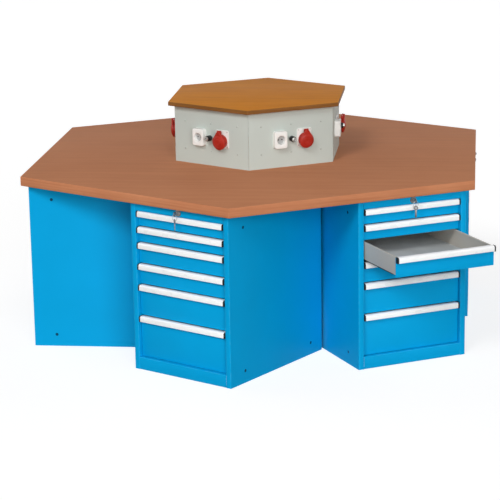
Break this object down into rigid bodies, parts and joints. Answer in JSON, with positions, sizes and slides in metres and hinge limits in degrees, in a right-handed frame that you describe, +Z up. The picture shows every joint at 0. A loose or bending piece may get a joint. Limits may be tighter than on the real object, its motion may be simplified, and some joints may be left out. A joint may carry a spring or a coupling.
{
  "type": "workbench",
  "caption": "Hexagonal workshop bench on drawer cabinets set round its rim, with knee spaces between them and a central tower of plug sockets and air couplings.",
  "frame": {"origin": "middle of the hexagon, on the floor", "axes": "+Z up; a corner of the worktop points along -Y, towards the camera; +X to the right"},
  "size_m": [2.2533, 2.478, 1.14],
  "materials": {
    "worktop_wood": "oiled beech board",
    "lid_wood": "clear lacquer",
    "batten_wood": "sawn",
    "blue_sheet": "powder coat",
    "blue_drawer": "powder coat",
    "runner_steel": "galvanised",
    "grey_sheet": "powder coat",
    "white_plastic": "moulded",
    "black_metal": "black oxide",
    "red_plastic": "moulded",
    "key_metal": "nickel plate"
  },
  "bodies": {
    "bench": {"worktop": "worktop_wood", "cabinet_side_walls": "blue_sheet", "cabinet_backs": "blue_sheet", "cabinet_tops": "blue_sheet", "cabinet_front_rails": "blue_sheet", "drawer_runners": "runner_steel", "tower_panels": "grey_sheet", "tower_battens": "batten_wood", "tower_lid": "lid_wood", "white_sockets": "white_plastic", "air_couplings": "black_metal", "red_sockets": "red_plastic"},
    "front_right_drawer_1": {"drawer_front_right_1": "blue_drawer"},
    "front_right_drawer_2": {"drawer_front_right_2": "blue_drawer"},
    "front_right_drawer_3": {"drawer_front_right_3": "blue_drawer"},
    "front_right_drawer_4": {"drawer_front_right_4": "blue_drawer"},
    "front_right_drawer_5": {"drawer_front_right_5": "blue_drawer"},
    "front_right_drawer_6": {"drawer_front_right_6": "blue_drawer"},
    "front_right_key": {"key_front_right": "key_metal"},
    "front_right_red_lid": {"red_socket_lid_front_right": "red_plastic"},
    "right_drawer_1": {"drawer_right_1": "blue_drawer"},
    "right_drawer_2": {"drawer_right_2": "blue_drawer"},
    "right_drawer_3": {"drawer_right_3": "blue_drawer"},
    "right_drawer_4": {"drawer_right_4": "blue_drawer"},
    "right_drawer_5": {"drawer_right_5": "blue_drawer"},
    "right_drawer_6": {"drawer_right_6": "blue_drawer"},
    "right_key": {"key_right": "key_metal"},
    "right_red_lid": {"red_socket_lid_right": "red_plastic"},
    "back_right_drawer_1": {"drawer_back_right_1": "blue_drawer"},
    "back_right_drawer_2": {"drawer_back_right_2": "blue_drawer"},
    "back_right_drawer_3": {"drawer_back_right_3": "blue_drawer"},
    "back_right_drawer_4": {"drawer_back_right_4": "blue_drawer"},
    "back_right_drawer_5": {"drawer_back_right_5": "blue_drawer"},
    "back_right_drawer_6": {"drawer_back_right_6": "blue_drawer"},
    "back_right_key": {"key_back_right": "key_metal"},
    "back_right_red_lid": {"red_socket_lid_back_right": "red_plastic"},
    "back_left_drawer_1": {"drawer_back_left_1": "blue_drawer"},
    "back_left_drawer_2": {"drawer_back_left_2": "blue_drawer"},
    "back_left_drawer_3": {"drawer_back_left_3": "blue_drawer"},
    "back_left_drawer_4": {"drawer_back_left_4": "blue_drawer"},
    "back_left_drawer_5": {"drawer_back_left_5": "blue_drawer"},
    "back_left_drawer_6": {"drawer_back_left_6": "blue_drawer"},
    "back_left_key": {"key_back_left": "key_metal"},
    "back_left_red_lid": {"red_socket_lid_back_left": "red_plastic"},
    "left_drawer_1": {"drawer_left_1": "blue_drawer"},
    "left_drawer_2": {"drawer_left_2": "blue_drawer"},
    "left_drawer_3": {"drawer_left_3": "blue_drawer"},
    "left_drawer_4": {"drawer_left_4": "blue_drawer"},
    "left_drawer_5": {"drawer_left_5": "blue_drawer"},
    "left_drawer_6": {"drawer_left_6": "blue_drawer"},
    "left_key": {"key_left": "key_metal"},
    "left_red_lid": {"red_socket_lid_left": "red_plastic"},
    "front_left_drawer_1": {"drawer_front_left_1": "blue_drawer"},
    "front_left_drawer_2": {"drawer_front_left_2": "blue_drawer"},
    "front_left_drawer_3": {"drawer_front_left_3": "blue_drawer"},
    "front_left_drawer_4": {"drawer_front_left_4": "blue_drawer"},
    "front_left_drawer_5": {"drawer_front_left_5": "blue_drawer"},
    "front_left_drawer_6": {"drawer_front_left_6": "blue_drawer"},
    "front_left_key": {"key_front_left": "key_metal"},
    "front_left_red_lid": {"red_socket_lid_front_left": "red_plastic"}
  },
  "joints": [
    {"name": "front_right_drawer_1_slide", "type": "slide", "parent": "bench", "child": "front_right_drawer_1", "axis": [0.5, -0.866, 0], "range_m": [0, 0.5]},
    {"name": "front_right_drawer_2_slide", "type": "slide", "parent": "bench", "child": "front_right_drawer_2", "axis": [0.5, -0.866, 0], "range_m": [0, 0.5]},
    {"name": "front_right_drawer_3_slide", "type": "slide", "parent": "bench", "child": "front_right_drawer_3", "axis": [0.5, -0.866, 0], "range_m": [-0.326, 0.174]},
    {"name": "front_right_drawer_4_slide", "type": "slide", "parent": "bench", "child": "front_right_drawer_4", "axis": [0.5, -0.866, 0], "range_m": [0, 0.5]},
    {"name": "front_right_drawer_5_slide", "type": "slide", "parent": "bench", "child": "front_right_drawer_5", "axis": [0.5, -0.866, 0], "range_m": [0, 0.5]},
    {"name": "front_right_drawer_6_slide", "type": "slide", "parent": "bench", "child": "front_right_drawer_6", "axis": [0.5, -0.866, 0], "range_m": [0, 0.5]},
    {"name": "front_right_key_turn", "type": "hinge", "parent": "bench", "child": "front_right_key", "pos_m": [0.79164, -0.74715, 0.779], "axis": [0.5, -0.866, 0], "range_deg": [0, 90]},
    {"name": "front_right_red_lid_hinge", "type": "hinge", "parent": "bench", "child": "front_right_red_lid", "pos_m": [0.26525, -0.32242, 1.02232], "axis": [-0.866, -0.5, 0], "range_deg": [0, 110], "stiffness_Nm_per_rad": 0.03, "springref_deg": -28.65},
    {"name": "right_drawer_1_slide", "type": "slide", "parent": "bench", "child": "right_drawer_1", "axis": [1, 0, 0], "range_m": [0, 0.5]},
    {"name": "right_drawer_2_slide", "type": "slide", "parent": "bench", "child": "right_drawer_2", "axis": [1, 0, 0], "range_m": [0, 0.5]},
    {"name": "right_drawer_3_slide", "type": "slide", "parent": "bench", "child": "right_drawer_3", "axis": [1, 0, 0], "range_m": [0, 0.5]},
    {"name": "right_drawer_4_slide", "type": "slide", "parent": "bench", "child": "right_drawer_4", "axis": [1, 0, 0], "range_m": [0, 0.5]},
    {"name": "right_drawer_5_slide", "type": "slide", "parent": "bench", "child": "right_drawer_5", "axis": [1, 0, 0], "range_m": [0, 0.5]},
    {"name": "right_drawer_6_slide", "type": "slide", "parent": "bench", "child": "right_drawer_6", "axis": [1, 0, 0], "range_m": [0, 0.5]},
    {"name": "right_key_turn", "type": "hinge", "parent": "bench", "child": "right_key", "pos_m": [1.04287, 0.312, 0.779], "axis": [1, 0, 0], "range_deg": [0, 90]},
    {"name": "right_red_lid_hinge", "type": "hinge", "parent": "bench", "child": "right_red_lid", "pos_m": [0.41185, 0.0685, 1.02232], "axis": [0, -1, 0], "range_deg": [0, 110], "stiffness_Nm_per_rad": 0.03, "springref_deg": -28.65},
    {"name": "back_right_drawer_1_slide", "type": "slide", "parent": "bench", "child": "back_right_drawer_1", "axis": [0.5, 0.866, 0], "range_m": [0, 0.5]},
    {"name": "back_right_drawer_2_slide", "type": "slide", "parent": "bench", "child": "back_right_drawer_2", "axis": [0.5, 0.866, 0], "range_m": [0, 0.5]},
    {"name": "back_right_drawer_3_slide", "type": "slide", "parent": "bench", "child": "back_right_drawer_3", "axis": [0.5, 0.866, 0], "range_m": [0, 0.5]},
    {"name": "back_right_drawer_4_slide", "type": "slide", "parent": "bench", "child": "back_right_drawer_4", "axis": [0.5, 0.866, 0], "range_m": [0, 0.5]},
    {"name": "back_right_drawer_5_slide", "type": "slide", "parent": "bench", "child": "back_right_drawer_5", "axis": [0.5, 0.866, 0], "range_m": [0, 0.5]},
    {"name": "back_right_drawer_6_slide", "type": "slide", "parent": "bench", "child": "back_right_drawer_6", "axis": [0.5, 0.866, 0], "range_m": [0, 0.5]},
    {"name": "back_right_key_turn", "type": "hinge", "parent": "bench", "child": "back_right_key", "pos_m": [0.25124, 1.05915, 0.779], "axis": [0.5, 0.866, 0], "range_deg": [0, 90]},
    {"name": "back_right_red_lid_hinge", "type": "hinge", "parent": "bench", "child": "back_right_red_lid", "pos_m": [0.1466, 0.39092, 1.02232], "axis": [0.866, -0.5, 0], "range_deg": [0, 110], "stiffness_Nm_per_rad": 0.03, "springref_deg": -28.65},
    {"name": "back_left_drawer_1_slide", "type": "slide", "parent": "bench", "child": "back_left_drawer_1", "axis": [-0.5, 0.866, 0], "range_m": [0, 0.5]},
    {"name": "back_left_drawer_2_slide", "type": "slide", "parent": "bench", "child": "back_left_drawer_2", "axis": [-0.5, 0.866, 0], "range_m": [0, 0.5]},
    {"name": "back_left_drawer_3_slide", "type": "slide", "parent": "bench", "child": "back_left_drawer_3", "axis": [-0.5, 0.866, 0], "range_m": [0, 0.5]},
    {"name": "back_left_drawer_4_slide", "type": "slide", "parent": "bench", "child": "back_left_drawer_4", "axis": [-0.5, 0.866, 0], "range_m": [0, 0.5]},
    {"name": "back_left_drawer_5_slide", "type": "slide", "parent": "bench", "child": "back_left_drawer_5", "axis": [-0.5, 0.866, 0], "range_m": [0, 0.5]},
    {"name": "back_left_drawer_6_slide", "type": "slide", "parent": "bench", "child": "back_left_drawer_6", "axis": [-0.5, 0.866, 0], "range_m": [0, 0.5]},
    {"name": "back_left_key_turn", "type": "hinge", "parent": "bench", "child": "back_left_key", "pos_m": [-0.79164, 0.74715, 0.779], "axis": [-0.5, 0.866, 0], "range_deg": [0, 90]},
    {"name": "back_left_red_lid_hinge", "type": "hinge", "parent": "bench", "child": "back_left_red_lid", "pos_m": [-0.26525, 0.32242, 1.02232], "axis": [0.866, 0.5, 0], "range_deg": [0, 110], "stiffness_Nm_per_rad": 0.03, "springref_deg": -28.65},
    {"name": "left_drawer_1_slide", "type": "slide", "parent": "bench", "child": "left_drawer_1", "axis": [-1, 0, 0], "range_m": [0, 0.5]},
    {"name": "left_drawer_2_slide", "type": "slide", "parent": "bench", "child": "left_drawer_2", "axis": [-1, 0, 0], "range_m": [0, 0.5]},
    {"name": "left_drawer_3_slide", "type": "slide", "parent": "bench", "child": "left_drawer_3", "axis": [-1, 0, 0], "range_m": [0, 0.5]},
    {"name": "left_drawer_4_slide", "type": "slide", "parent": "bench", "child": "left_drawer_4", "axis": [-1, 0, 0], "range_m": [0, 0.5]},
    {"name": "left_drawer_5_slide", "type": "slide", "parent": "bench", "child": "left_drawer_5", "axis": [-1, 0, 0], "range_m": [0, 0.5]},
    {"name": "left_drawer_6_slide", "type": "slide", "parent": "bench", "child": "left_drawer_6", "axis": [-1, 0, 0], "range_m": [0, 0.5]},
    {"name": "left_key_turn", "type": "hinge", "parent": "bench", "child": "left_key", "pos_m": [-1.04287, -0.312, 0.779], "axis": [-1, 0, 0], "range_deg": [0, 90]},
    {"name": "left_red_lid_hinge", "type": "hinge", "parent": "bench", "child": "left_red_lid", "pos_m": [-0.41185, -0.0685, 1.02232], "axis": [0, 1, 0], "range_deg": [0, 110], "stiffness_Nm_per_rad": 0.03, "springref_deg": -28.65},
    {"name": "front_left_drawer_1_slide", "type": "slide", "parent": "bench", "child": "front_left_drawer_1", "axis": [-0.5, -0.866, 0], "range_m": [0, 0.5]},
    {"name": "front_left_drawer_2_slide", "type": "slide", "parent": "bench", "child": "front_left_drawer_2", "axis": [-0.5, -0.866, 0], "range_m": [0, 0.5]},
    {"name": "front_left_drawer_3_slide", "type": "slide", "parent": "bench", "child": "front_left_drawer_3", "axis": [-0.5, -0.866, 0], "range_m": [0, 0.5]},
    {"name": "front_left_drawer_4_slide", "type": "slide", "parent": "bench", "child": "front_left_drawer_4", "axis": [-0.5, -0.866, 0], "range_m": [0, 0.5]},
    {"name": "front_left_drawer_5_slide", "type": "slide", "parent": "bench", "child": "front_left_drawer_5", "axis": [-0.5, -0.866, 0], "range_m": [0, 0.5]},
    {"name": "front_left_drawer_6_slide", "type": "slide", "parent": "bench", "child": "front_left_drawer_6", "axis": [-0.5, -0.866, 0], "range_m": [0, 0.5]},
    {"name": "front_left_key_turn", "type": "hinge", "parent": "bench", "child": "front_left_key", "pos_m": [-0.25124, -1.05915, 0.779], "axis": [-0.5, -0.866, 0], "range_deg": [0, 90]},
    {"name": "front_left_red_lid_hinge", "type": "hinge", "parent": "bench", "child": "front_left_red_lid", "pos_m": [-0.1466, -0.39092, 1.02232], "axis": [-0.866, 0.5, 0], "range_deg": [0, 110], "stiffness_Nm_per_rad": 0.03, "springref_deg": -28.65}
  ]
}
